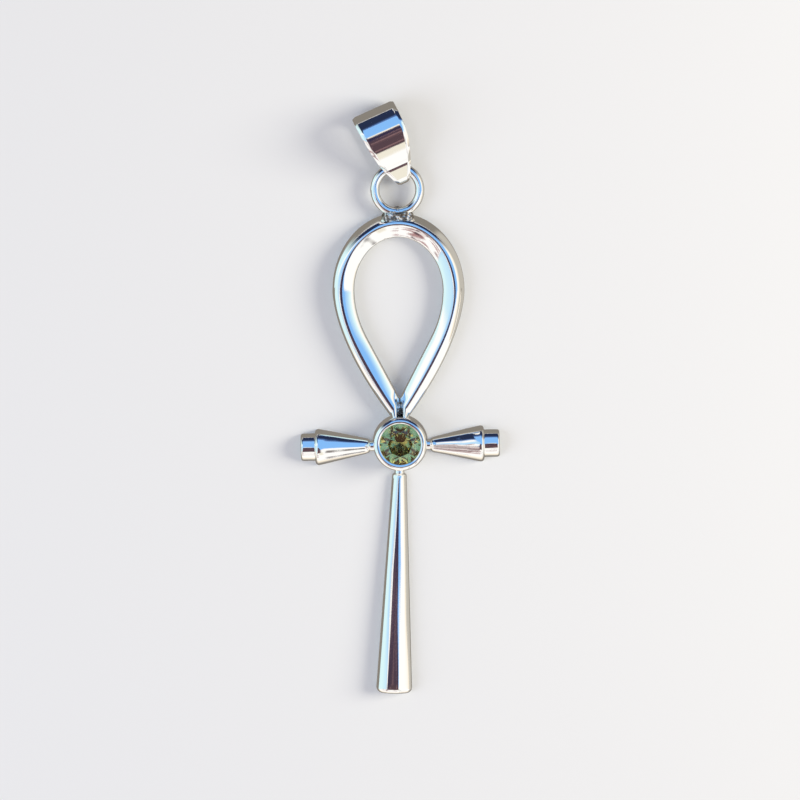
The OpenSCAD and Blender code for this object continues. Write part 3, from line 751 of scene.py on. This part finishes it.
def roomColour(direction):
    # Linear colour of the room in each direction, as rows of unit vectors. Each line paints one
    # thing over what is there, and a share from 0 to 1 says how strongly and where.
    tone = {name: np.array(linearColour(value)[:3]) for name, value in roomLook["tones"].items()}
    x, y, z = direction.T
    up = np.degrees(np.arctan2(y, z))
    side = np.degrees(np.arctan2(x, z))

    def bands(angle, stops):
        # Colours joined by short or long blends
        at = [stop[0] for stop in stops]
        return np.stack([np.interp(angle, at, [tone[stop[1]][k] for stop in stops]) for k in range(3)], -1)

    def edge(name):
        return np.interp(x, *np.array(roomLook[name]).T)

    def paint(under, over, share):
        over = tone[over] if isinstance(over, str) else over
        return under + (over - under) * share[:, None]

    def span(value, low, high, soft):
        # 1 between low and high, with soft edges
        return smoothStep(low - soft, low + soft, value) * (1 - smoothStep(high - soft, high + soft, value))

    skyEdge, houseLow, houseTop, rimWide = map(edge, ("skyEdge", "houseLow", "houseTop", "rimWide"))
    flat = np.broadcast_to(tone["houseLow"], (len(x), 3))
    room = bands(up, roomLook["near"])
    room = paint(room, bands(up, roomLook["sky"]), span(up, skyEdge, houseLow, 0.7))
    room = paint(room, "cream", span(up, -1.5, 3.5, 0.5) * span(x, -0.06, 0.06, 0.01))
    house = paint(flat, "house", smoothStep(0, 14, up - houseLow))
    room = paint(room, house, span(up, houseLow, houseTop, 0.7))
    room = paint(room, "rim", span(up, houseTop, houseTop + rimWide, 0.7))
    room = paint(room, "ground", smoothStep(-1, 1, up - houseTop - rimWide))
    # Left and right, where x counts for more than y
    sideways = smoothStep(0.45, 0.8, x * x / (x * x + y * y + 1e-4))
    overSky = smoothStep(-2, 2, up - skyEdge + 90 * smoothStep(0.8, 0.95, np.abs(x)))
    room = paint(room, bands(side, roomLook["cross"]), sideways * overSky)
    leftPatch = smoothStep(0.33, 0.4, -x) * (1 - smoothStep(0.85, 0.93, -x))
    room = paint(room, "white", leftPatch * span(up, 14, 29, 6))
    room = paint(room, "ground", smoothStep(0.2, 0.35, -z) * smoothStep(0.6, 0.7, -x))
    room = paint(room, "silver", smoothStep(0.02, 0.12, -z) * smoothStep(0.6, 0.7, x))
    # Cloth, whose streaks are fine across and long round straight up. The folds mirror left to right.
    polar, turn = np.degrees(np.arccos(np.clip(z, -1, 1))), np.arctan2(x, y)
    weave = {}
    for name, (wide, often, seed) in roomLook["weaves"].items():
        about = np.abs(turn) if name == "folds" else turn
        weave[name] = ripple(np.column_stack([polar / wide, about * often]), seed, 1.0)
    left = span(x, -0.75, -0.2, 0.06) * (1 - smoothStep(-2, 2, up - skyEdge)) * smoothStep(-80, -68, up)
    room = paint(room, "pink", left * smoothStep(-0.15, 0.6, weave["fine"] + 0.5 * weave["broad"]))
    room = paint(room, "figure", left * 0.6 * smoothStep(0.5, 1.0, weave["broad"]))
    for name, strength, across, along, woven in roomLook["cloth"]:
        share = strength * span(x, *across) * span(up, *along)
        if woven:
            share = share * smoothStep(woven[1], woven[2], weave[woven[0]])
        room = paint(room, name, share)
    fromCurve = x - roomLook["armReach"] * np.cos(np.radians(up + roomLook["armTurn"]) / 2)
    onArm = 0.9 * sum(span(fromCurve, *across) * span(up, *along) for across, along in roomLook["armCloth"])
    room = paint(room, "shade", onArm)
    room = paint(room, "figure", onArm * smoothStep(-0.4, 0.2, weave["folds"]))
    # The dark outline, and a bright gap beside its left edge
    h, g = roomLook["head"], roomLook["gap"]
    shoulders = np.where(x < 0, h["left"], h["right"]) * np.maximum(0, np.abs(x) - h["shoulderX"]) ** 2
    head = h["top"] - h["bend"] * x * x - shoulders
    gap = g["top"] - g["bend"] * x * x
    inGap = smoothStep(-0.5, 0.5, gap - up) * smoothStep(-16, -12, up) * span(x, -0.4, 0, 0.02)
    room = paint(room, "white", inGap)
    inFigure = smoothStep(-0.5, 0.5, head - up) * smoothStep(-2, 2, up + 36 + 2 * weave["broad"])
    inFigure = inFigure * span(x, -0.3, 0.3, 0.03)
    figure = paint(flat * 0 + tone["figureTop"], "figure", smoothStep(3, 12, head - up))
    figure = paint(figure, "pink", 0.45 * smoothStep(0.2, 0.9, weave["fine"]))
    return paint(room, figure, inFigure)


def buildRoom():
    # Sphere whose poles lie along X, so that the bands towards +Y and -Y fall on even rows
    a = np.radians(np.linspace(0, 180, roomLook["rows"]))[1:-1, None]
    b = np.radians(np.linspace(0, 360, roomLook["columns"], endpoint=False))
    grid = np.stack([np.cos(a) + 0 * b, np.sin(a) * np.sin(b), np.sin(a) * np.cos(b)], -1)
    directions, faces = skin(grid)
    directions /= np.linalg.norm(directions, axis=1)[:, None]
    mesh = bpy.data.meshes.new("room")
    mesh.from_pydata((directions * roomLook["radius"]).tolist(), [], faces)
    attribute = mesh.color_attributes.new("roomColour", "FLOAT_COLOR", "POINT")
    colours = np.column_stack([roomColour(directions), np.ones(len(directions))])
    attribute.data.foreach_set("color", colours.ravel())
    material, tree = newMaterial("reflectedRoom")
    colour = addNode(tree, "ShaderNodeAttribute", {"attribute_name": "roomColour"})
    glow = addNode(tree, "ShaderNodeEmission", {"Strength": roomLook["strength"]},
                   {"Color": colour.outputs["Color"]})
    addNode(tree, "ShaderNodeOutputMaterial", links={"Surface": glow.outputs["Emission"]})
    material.cycles.emission_sampling = "NONE"
    mesh.materials.append(material)
    room = bpy.data.objects.new("room", mesh)
    bpy.context.scene.collection.objects.link(room)
    room.visible_camera = False
    room.visible_diffuse = False
    room.visible_shadow = False


buildRoom()
print("room built")

# Floor, light and camera, in metres
stageLook = {
    "floor": "#EAECEA", "floorSize": 1.2,
    "floorDrop": 0.00002,    # keeps the floor clear of the flat backs
    "sky": "#E8E2E8", "skyStrength": 0.61,
    "lights": {
        "warmRight": {"at": (0.332, 0.045, 0.175), "size": 0.2, "power": 1.36, "colour": "#FBF6EA"},
        "coolLeft": {"at": (-0.27, -0.08, 0.2), "size": 0.3, "power": 0.5, "colour": "#DEE8FF"},
    },
    "cameraDistance": 0.375, "cameraTilt": 5.0, "cameraTarget": (-0.00002, 0.00387, 0.0),
    "imageWidth": 0.074, "sensor": 36,
}


def buildFloor():
    half = stageLook["floorSize"] / 2
    corners = [(-half, -half, 0), (half, -half, 0), (half, half, 0), (-half, half, 0)]
    mesh = bpy.data.meshes.new("floor")
    mesh.from_pydata(corners, [], [(0, 1, 2, 3)])
    # Matt white card, with no sheen
    material, tree = newMaterial("paleCard")
    surface = addNode(tree, "ShaderNodeBsdfPrincipled",
                      {"Base Color": linearColour(stageLook["floor"]), "Roughness": 0.9,
                       "Specular IOR Level": 0.0})
    addNode(tree, "ShaderNodeOutputMaterial", links={"Surface": surface.outputs["BSDF"]})
    mesh.materials.append(material)
    floor = bpy.data.objects.new("floor", mesh)
    bpy.context.scene.collection.objects.link(floor)
    floor.location.z = -stageLook["floorDrop"]
    floor.visible_glossy = False


def addLight(name, look):
    # A round soft light that faces the origin. The silver doesn't show it.
    light = bpy.data.lights.new(name, "AREA")
    light.shape = "DISK"
    light.size = look["size"]
    light.energy = look["power"]
    light.color = linearColour(look["colour"])[:3]
    obj = bpy.data.objects.new(name, light)
    obj.location = look["at"]
    obj.rotation_mode = "QUATERNION"
    obj.rotation_quaternion = (-Vector(look["at"])).to_track_quat("-Z", "Y")
    obj.visible_glossy = False
    bpy.context.scene.collection.objects.link(obj)


def addSky():
    world = bpy.data.worlds.new("paleRoom")
    bpy.context.scene.world = world
    world.use_nodes = True
    world.node_tree.nodes.clear()
    background = addNode(world.node_tree, "ShaderNodeBackground",
                         {"Color": linearColour(stageLook["sky"]), "Strength": stageLook["skyStrength"]})
    addNode(world.node_tree, "ShaderNodeOutputWorld", links={"Surface": background.outputs["Background"]})


def addCamera():
    # Over the pendant and a little towards +Y, turned back to look at the target. The lens makes
    # the image as wide as said at that distance: sensor times distance over image width.
    s = stageLook
    camera = bpy.data.cameras.new("camera")
    obj = bpy.data.objects.new("camera", camera)
    bpy.context.scene.collection.objects.link(obj)
    tilt = math.radians(s["cameraTilt"])
    back = Vector((0, math.sin(tilt), math.cos(tilt)))
    obj.location = Vector(s["cameraTarget"]) + back * s["cameraDistance"]
    obj.rotation_euler = (-tilt, 0, 0)
    camera.sensor_width = s["sensor"]
    camera.lens = s["sensor"] * s["cameraDistance"] / s["imageWidth"]
    camera.clip_start, camera.clip_end = 0.01, 5
    bpy.context.scene.camera = obj
    bpy.context.scene.view_settings.view_transform = "Standard"


addSky()
buildFloor()
for lightName, lightLook in stageLook["lights"].items():
    addLight(lightName, lightLook)
addCamera()
print("stage built")
